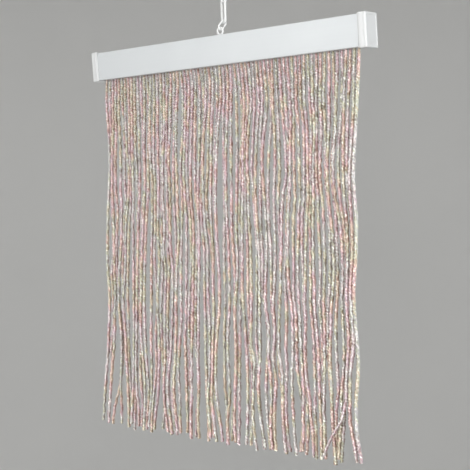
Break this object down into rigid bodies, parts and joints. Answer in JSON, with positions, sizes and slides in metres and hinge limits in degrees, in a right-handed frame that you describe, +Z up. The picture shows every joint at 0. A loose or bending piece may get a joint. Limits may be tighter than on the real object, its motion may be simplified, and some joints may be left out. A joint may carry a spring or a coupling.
{
  "type": "fly curtain with headrail",
  "caption": "Short fly curtain of twisted film strands hanging from a plastic headrail with end caps, held by an eye and a link chain.",
  "frame": {"origin": "where the top chain link bears on the hook that holds the curtain", "axes": "+Z up, X along the rail, the front faces -Y and the wall side +Y"},
  "size_m": [0.32, 0.0238, 0.4384],
  "materials": {
    "rail": "smooth cool white extruded plastic, satin",
    "cap": "smooth white moulded plastic, satin",
    "film_strands": "twisted pearly film in changing pale pink, green, cream and lilac",
    "hanger": "smooth white moulded plastic, glossy"
  },
  "bodies": {
    "root": {"headrail": "rail", "end_cap_left": "cap", "end_cap_right": "cap", "strand_curtain": "film_strands", "rail_eye": "hanger", "connector_link": "hanger", "chain_link_lower": "hanger", "chain_link_upper": "hanger"}
  },
  "joints": []
}
